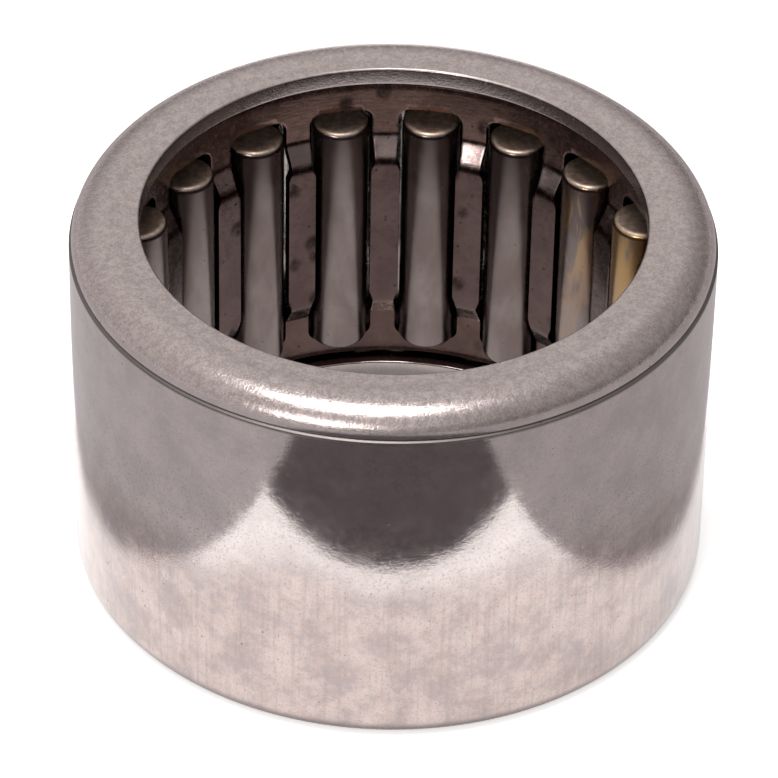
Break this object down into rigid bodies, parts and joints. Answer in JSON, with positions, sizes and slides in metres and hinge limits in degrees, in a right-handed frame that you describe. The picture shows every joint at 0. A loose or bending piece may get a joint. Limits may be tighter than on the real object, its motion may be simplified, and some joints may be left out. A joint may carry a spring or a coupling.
{
  "type": "needle roller bearing",
  "caption": "Drawn-cup needle roller bearing with two lips, a sheet-steel cage and a ring of loose needles, open right through for a shaft.",
  "frame": {"origin": "centre of the lower face, on the bearing's axis", "axes": "+Z along the bearing's axis, towards the curled end; +Y towards the back as pictured, +X to the right"},
  "size_m": [0.0254, 0.0254, 0.0159],
  "materials": {
    "cup_steel": "satin drawn steel, lightly scratched and pitted",
    "cage_steel": "oily dark sheet steel",
    "needle_steel": "polished, with a film of old oil"
  },
  "bodies": {
    "cup": {"cup": "cup_steel"},
    "cage": {"cage": "cage_steel"},
    "needle_01": {"needle_01": "needle_steel"},
    "needle_02": {"needle_02": "needle_steel"},
    "needle_03": {"needle_03": "needle_steel"},
    "needle_04": {"needle_04": "needle_steel"},
    "needle_05": {"needle_05": "needle_steel"},
    "needle_06": {"needle_06": "needle_steel"},
    "needle_07": {"needle_07": "needle_steel"},
    "needle_08": {"needle_08": "needle_steel"},
    "needle_09": {"needle_09": "needle_steel"},
    "needle_10": {"needle_10": "needle_steel"},
    "needle_11": {"needle_11": "needle_steel"},
    "needle_12": {"needle_12": "needle_steel"},
    "needle_13": {"needle_13": "needle_steel"},
    "needle_14": {"needle_14": "needle_steel"},
    "needle_15": {"needle_15": "needle_steel"},
    "needle_16": {"needle_16": "needle_steel"},
    "needle_17": {"needle_17": "needle_steel"},
    "needle_18": {"needle_18": "needle_steel"}
  },
  "joints": [
    {"name": "cage_turn", "type": "hinge", "parent": "cup", "child": "cage", "pos_m": [0, 0, 0], "axis": [0, 0, 1], "continuous": true},
    {"name": "needle_01_roll", "type": "hinge", "parent": "cage", "child": "needle_01", "pos_m": [0.00145, 0.01062, 0.00743], "axis": [0, 0, 1], "continuous": true},
    {"name": "needle_02_roll", "type": "hinge", "parent": "cage", "child": "needle_02", "pos_m": [0.005, 0.00948, 0.00743], "axis": [0, 0, 1], "continuous": true},
    {"name": "needle_03_roll", "type": "hinge", "parent": "cage", "child": "needle_03", "pos_m": [0.00794, 0.0072, 0.00743], "axis": [0, 0, 1], "continuous": true},
    {"name": "needle_04_roll", "type": "hinge", "parent": "cage", "child": "needle_04", "pos_m": [0.00992, 0.00405, 0.00743], "axis": [0, 0, 1], "continuous": true},
    {"name": "needle_05_roll", "type": "hinge", "parent": "cage", "child": "needle_05", "pos_m": [0.01071, 0.00041, 0.00743], "axis": [0, 0, 1], "continuous": true},
    {"name": "needle_06_roll", "type": "hinge", "parent": "cage", "child": "needle_06", "pos_m": [0.0102, -0.00328, 0.00743], "axis": [0, 0, 1], "continuous": true},
    {"name": "needle_07_roll", "type": "hinge", "parent": "cage", "child": "needle_07", "pos_m": [0.00847, -0.00657, 0.00743], "axis": [0, 0, 1], "continuous": true},
    {"name": "needle_08_roll", "type": "hinge", "parent": "cage", "child": "needle_08", "pos_m": [0.00571, -0.00907, 0.00743], "axis": [0, 0, 1], "continuous": true},
    {"name": "needle_09_roll", "type": "hinge", "parent": "cage", "child": "needle_09", "pos_m": [0.00226, -0.01047, 0.00743], "axis": [0, 0, 1], "continuous": true},
    {"name": "needle_10_roll", "type": "hinge", "parent": "cage", "child": "needle_10", "pos_m": [-0.00145, -0.01062, 0.00743], "axis": [0, 0, 1], "continuous": true},
    {"name": "needle_11_roll", "type": "hinge", "parent": "cage", "child": "needle_11", "pos_m": [-0.005, -0.00948, 0.00743], "axis": [0, 0, 1], "continuous": true},
    {"name": "needle_12_roll", "type": "hinge", "parent": "cage", "child": "needle_12", "pos_m": [-0.00794, -0.0072, 0.00743], "axis": [0, 0, 1], "continuous": true},
    {"name": "needle_13_roll", "type": "hinge", "parent": "cage", "child": "needle_13", "pos_m": [-0.00992, -0.00405, 0.00743], "axis": [0, 0, 1], "continuous": true},
    {"name": "needle_14_roll", "type": "hinge", "parent": "cage", "child": "needle_14", "pos_m": [-0.01071, -0.00041, 0.00743], "axis": [0, 0, 1], "continuous": true},
    {"name": "needle_15_roll", "type": "hinge", "parent": "cage", "child": "needle_15", "pos_m": [-0.0102, 0.00328, 0.00743], "axis": [0, 0, 1], "continuous": true},
    {"name": "needle_16_roll", "type": "hinge", "parent": "cage", "child": "needle_16", "pos_m": [-0.00847, 0.00657, 0.00743], "axis": [0, 0, 1], "continuous": true},
    {"name": "needle_17_roll", "type": "hinge", "parent": "cage", "child": "needle_17", "pos_m": [-0.00571, 0.00907, 0.00743], "axis": [0, 0, 1], "continuous": true},
    {"name": "needle_18_roll", "type": "hinge", "parent": "cage", "child": "needle_18", "pos_m": [-0.00226, 0.01047, 0.00743], "axis": [0, 0, 1], "continuous": true}
  ],
  "couplings": [
    {"joint": "needle_01_roll", "follows": "cage_turn", "ratio": -10.042},
    {"joint": "needle_02_roll", "follows": "cage_turn", "ratio": -10.042},
    {"joint": "needle_03_roll", "follows": "cage_turn", "ratio": -10.042},
    {"joint": "needle_04_roll", "follows": "cage_turn", "ratio": -10.042},
    {"joint": "needle_05_roll", "follows": "cage_turn", "ratio": -10.042},
    {"joint": "needle_06_roll", "follows": "cage_turn", "ratio": -10.042},
    {"joint": "needle_07_roll", "follows": "cage_turn", "ratio": -10.042},
    {"joint": "needle_08_roll", "follows": "cage_turn", "ratio": -10.042},
    {"joint": "needle_09_roll", "follows": "cage_turn", "ratio": -10.042},
    {"joint": "needle_10_roll", "follows": "cage_turn", "ratio": -10.042},
    {"joint": "needle_11_roll", "follows": "cage_turn", "ratio": -10.042},
    {"joint": "needle_12_roll", "follows": "cage_turn", "ratio": -10.042},
    {"joint": "needle_13_roll", "follows": "cage_turn", "ratio": -10.042},
    {"joint": "needle_14_roll", "follows": "cage_turn", "ratio": -10.042},
    {"joint": "needle_15_roll", "follows": "cage_turn", "ratio": -10.042},
    {"joint": "needle_16_roll", "follows": "cage_turn", "ratio": -10.042},
    {"joint": "needle_17_roll", "follows": "cage_turn", "ratio": -10.042},
    {"joint": "needle_18_roll", "follows": "cage_turn", "ratio": -10.042}
  ]
}
